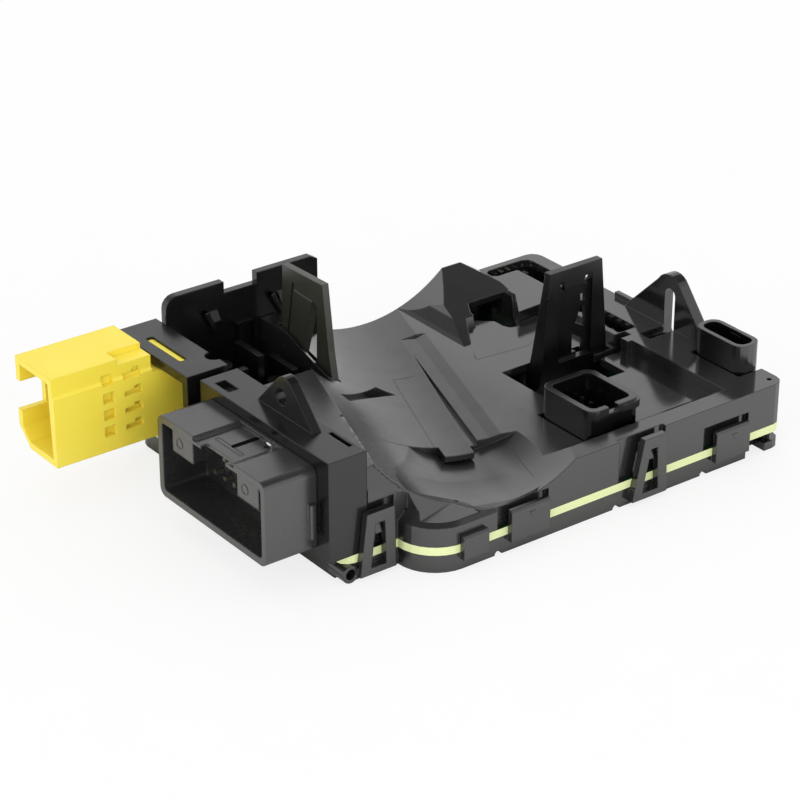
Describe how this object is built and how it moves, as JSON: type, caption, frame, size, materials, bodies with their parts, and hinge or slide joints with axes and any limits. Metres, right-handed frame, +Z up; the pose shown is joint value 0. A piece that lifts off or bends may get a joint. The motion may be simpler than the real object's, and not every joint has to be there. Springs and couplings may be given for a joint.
{
  "type": "steering column switch module",
  "caption": "Steering column switch module: snap-fitted black covers over a circuit board, column saddle, switch sockets, latch towers, harness shell and yellow airbag connector.",
  "frame": {"origin": "on the flat underside of the lower cover, below the middle of the circuit board's length and depth", "axes": "+X runs along the front edge away from the harness shell, +Y runs back from the front edge, +Z up from the underside towards the column"},
  "size_m": [0.1211, 0.0745, 0.032],
  "materials": {
    "cover_black": "satin",
    "carrier_black": "satin",
    "socket_black": "satin",
    "latch_black": "satin",
    "airbag_yellow": "satin",
    "board_laminate": "satin",
    "contact_metal": "satin",
    "chip_resin": "matte",
    "can_metal": "satin",
    "ceramic": "matte"
  },
  "bodies": {
    "root": {"lower_cover": "cover_black", "upper_cover": "cover_black", "circuit_board": "board_laminate", "stalk_socket": "socket_black", "slim_socket": "socket_black", "rear_header": "socket_black", "contact_bar_back": "socket_black", "contact_bar_side": "socket_black", "stalk_pins": "contact_metal", "slim_pins": "contact_metal", "rear_header_pins": "contact_metal", "contact_blades_back": "contact_metal", "contact_blades_side": "contact_metal", "harness_pins": "contact_metal", "airbag_terminals": "contact_metal", "right_latch_tower": "latch_black", "left_latch_tower": "latch_black", "connector_carrier": "carrier_black", "harness_shell": "carrier_black", "airbag_connector": "airbag_yellow", "airbag_lock": "airbag_yellow", "controller_chip": "chip_resin", "bus_chip": "chip_resin", "driver_chip": "chip_resin", "power_chip": "chip_resin", "choke_coil": "chip_resin", "crystal": "can_metal", "bulk_capacitor_1": "can_metal", "bulk_capacitor_2": "can_metal", "ceramic_capacitors": "ceramic"}
  },
  "joints": []
}
